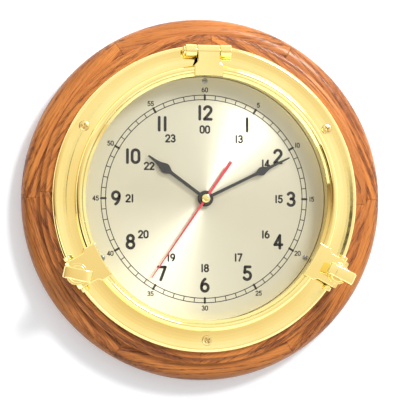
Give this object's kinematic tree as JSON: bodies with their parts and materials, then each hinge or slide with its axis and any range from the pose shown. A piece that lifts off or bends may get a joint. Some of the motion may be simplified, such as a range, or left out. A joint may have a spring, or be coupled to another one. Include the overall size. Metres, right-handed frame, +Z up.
{
  "type": "porthole clock",
  "caption": "Round wall clock shaped as a ship's porthole: brass window with hinged glazed door, swing-bolt clamps and a dial on a turned oak ring.",
  "frame": {"origin": "the wall screw's bearing point at the top of the keyhole slot, in the plane of the oak ring's back, 113 mm above the dial's centre", "axes": "+Z up along the dial from six to twelve, -Y out of the dial towards the reader, +Y into the wall, +X to three o'clock"},
  "size_m": [0.34, 0.0723, 0.34],
  "materials": {
    "oak": "honey oak under satin lacquer",
    "polished_brass": "polished and lacquered",
    "screw_brass": "polished",
    "wheel_brass": "stamped",
    "dial_finish": "champagne satin",
    "window_glass": "clear, polished edge",
    "black_rubber": "matte",
    "black_enamel": "satin black",
    "red_enamel": "satin red",
    "black_plastic": "moulded",
    "white_plastic": "moulded",
    "board_laminate": "solder resist",
    "battery_sleeve": "shrink sleeve",
    "bare_steel": "bare",
    "zinc_steel": "zinc plated",
    "copper_wire": "enamelled copper wire"
  },
  "bodies": {
    "case": {"oak_back_stave_1": "oak", "oak_back_stave_2": "oak", "oak_back_stave_3": "oak", "oak_back_stave_4": "oak", "oak_back_stave_5": "oak", "oak_back_stave_6": "oak", "oak_front_stave_1": "oak", "oak_front_stave_2": "oak", "oak_front_stave_3": "oak", "oak_front_stave_4": "oak", "base_ring": "polished_brass", "hinge_pin": "polished_brass", "shaft_nut": "polished_brass", "left_dog_pin": "polished_brass", "right_dog_pin": "polished_brass", "flange_screw_1": "screw_brass", "flange_screw_2": "screw_brass", "flange_screw_3": "screw_brass", "dial_screw_1": "screw_brass", "dial_screw_2": "screw_brass", "dial_screw_3": "screw_brass", "dial_plate": "dial_finish", "rubber_washer": "black_rubber", "left_wall_pad": "black_rubber", "right_wall_pad": "black_rubber", "movement_case": "black_plastic", "movement_cover": "black_plastic", "stator": "bare_steel", "contact_positive": "bare_steel", "contact_negative": "bare_steel", "coil": "copper_wire", "circuit_board": "board_laminate", "hanger_plate": "zinc_steel", "hanger_screw_1": "zinc_steel", "hanger_screw_2": "zinc_steel"},
    "door": {"door_ring": "polished_brass", "door_glass": "window_glass", "glass_seal": "black_rubber", "glass_retainer": "polished_brass"},
    "left_bolt": {"left_swing_bolt": "polished_brass"},
    "left_washer": {"left_dog_washer": "polished_brass"},
    "left_nut": {"left_thumb_nut": "polished_brass"},
    "right_bolt": {"right_swing_bolt": "polished_brass"},
    "right_washer": {"right_dog_washer": "polished_brass"},
    "right_nut": {"right_thumb_nut": "polished_brass"},
    "minute": {"minute_hand": "black_enamel", "cannon_pinion": "wheel_brass"},
    "hour": {"hour_hand": "black_enamel", "hour_wheel": "wheel_brass"},
    "motion_wheel": {"minute_wheel": "wheel_brass"},
    "knob": {"setting_knob": "white_plastic"},
    "seconds": {"second_hand": "red_enamel", "centre_cap": "polished_brass", "second_wheel": "wheel_brass"},
    "third": {"third_wheel": "wheel_brass"},
    "centre": {"centre_wheel": "wheel_brass"},
    "middle": {"middle_wheel": "wheel_brass"},
    "motor_rotor": {"rotor": "bare_steel"},
    "battery_cell": {"battery": "battery_sleeve"}
  },
  "joints": [
    {"name": "door_hinge", "type": "hinge", "parent": "case", "child": "door", "pos_m": [0, -0.044, 0.0224], "axis": [-1, 0, 0], "range_deg": [0, 110]},
    {"name": "left_bolt_swing", "type": "hinge", "parent": "case", "child": "left_bolt", "pos_m": [-0.12038, -0.04, -0.1825], "axis": [0.5, 0, -0.866], "range_deg": [0, 75]},
    {"name": "left_washer_slide", "type": "slide", "parent": "left_bolt", "child": "left_washer", "axis": [0, -1, 0], "range_m": [0, 0.003]},
    {"name": "left_nut_turn", "type": "hinge", "parent": "left_washer", "child": "left_nut", "pos_m": [-0.12038, -0.04, -0.1825], "axis": [0, -1, 0], "range_deg": [0, 1080]},
    {"name": "right_bolt_swing", "type": "hinge", "parent": "case", "child": "right_bolt", "pos_m": [0.12038, -0.04, -0.1825], "axis": [0.5, 0, 0.866], "range_deg": [0, 75]},
    {"name": "right_washer_slide", "type": "slide", "parent": "right_bolt", "child": "right_washer", "axis": [0, -1, 0], "range_m": [0, 0.003]},
    {"name": "right_nut_turn", "type": "hinge", "parent": "right_washer", "child": "right_nut", "pos_m": [0.12038, -0.04, -0.1825], "axis": [0, -1, 0], "range_deg": [0, 1080]},
    {"name": "minute_hand_turn", "type": "hinge", "parent": "case", "child": "minute", "pos_m": [0, -0.028, -0.113], "axis": [0, 1, 0], "continuous": true},
    {"name": "hour_hand_turn", "type": "hinge", "parent": "case", "child": "hour", "pos_m": [0, -0.026, -0.113], "axis": [0, 1, 0], "continuous": true},
    {"name": "motion_wheel_turn", "type": "hinge", "parent": "case", "child": "motion_wheel", "pos_m": [0, -0.016, -0.1044], "axis": [0, 1, 0], "continuous": true},
    {"name": "setting_knob_turn", "type": "hinge", "parent": "case", "child": "knob", "pos_m": [-0.0043, -0.01, -0.09695], "axis": [0, 1, 0], "continuous": true},
    {"name": "second_hand_turn", "type": "hinge", "parent": "case", "child": "seconds", "pos_m": [0, -0.02, -0.113], "axis": [0, 1, 0], "continuous": true},
    {"name": "third_wheel_turn", "type": "hinge", "parent": "case", "child": "third", "pos_m": [-0.0086, -0.013, -0.113], "axis": [0, 1, 0], "continuous": true},
    {"name": "centre_wheel_turn", "type": "hinge", "parent": "case", "child": "centre", "pos_m": [0, -0.014, -0.113], "axis": [0, 1, 0], "continuous": true},
    {"name": "middle_wheel_turn", "type": "hinge", "parent": "case", "child": "middle", "pos_m": [0.0086, -0.01, -0.113], "axis": [0, 1, 0], "continuous": true},
    {"name": "rotor_turn", "type": "hinge", "parent": "case", "child": "motor_rotor", "pos_m": [0.01175, -0.012, -0.10754], "axis": [0, 1, 0], "continuous": true},
    {"name": "battery_pull", "type": "slide", "parent": "case", "child": "battery_cell", "axis": [0, 1, 0], "range_m": [0, 0.02]}
  ],
  "couplings": [
    {"joint": "left_nut_turn", "follows": "left_washer_slide", "rad_per_m": 6283.2},
    {"joint": "right_nut_turn", "follows": "right_washer_slide", "rad_per_m": 6283.2},
    {"joint": "hour_hand_turn", "follows": "minute_hand_turn", "ratio": 0.083333},
    {"joint": "motion_wheel_turn", "follows": "minute_hand_turn", "ratio": -0.33333},
    {"joint": "setting_knob_turn", "follows": "minute_hand_turn", "ratio": 1},
    {"joint": "third_wheel_turn", "follows": "second_hand_turn", "ratio": -0.125},
    {"joint": "centre_wheel_turn", "follows": "second_hand_turn", "ratio": 0.016667},
    {"joint": "middle_wheel_turn", "follows": "second_hand_turn", "ratio": -5},
    {"joint": "rotor_turn", "follows": "second_hand_turn", "ratio": 30}
  ]
}
